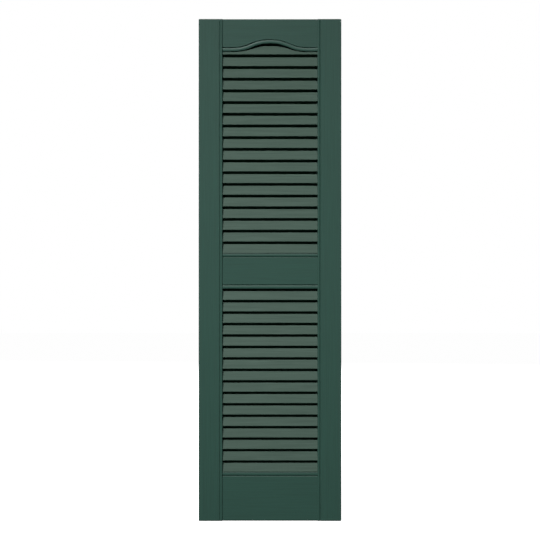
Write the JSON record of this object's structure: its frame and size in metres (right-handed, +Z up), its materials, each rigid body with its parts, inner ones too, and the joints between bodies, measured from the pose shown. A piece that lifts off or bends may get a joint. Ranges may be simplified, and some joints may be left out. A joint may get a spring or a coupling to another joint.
{
  "type": "louvred shutter",
  "caption": "Exterior louvred shutter moulded in one piece: flat beaded stiles, cathedral-arched top rail, middle and bottom rails, open louvres, open ribbed back.",
  "frame": {"origin": "centre of the panel's width and height, on the plane of the back rim that lies on the wall", "axes": "+X across the panel to the right as seen from the front, +Y from the front into the wall, +Z up"},
  "size_m": [0.368, 0.027, 1.295],
  "materials": {
    "shutter_green": "dark green moulded right through, satin, with a fine moulded wood grain"
  },
  "bodies": {
    "root": {"shutter_panel": "shutter_green"}
  },
  "joints": []
}
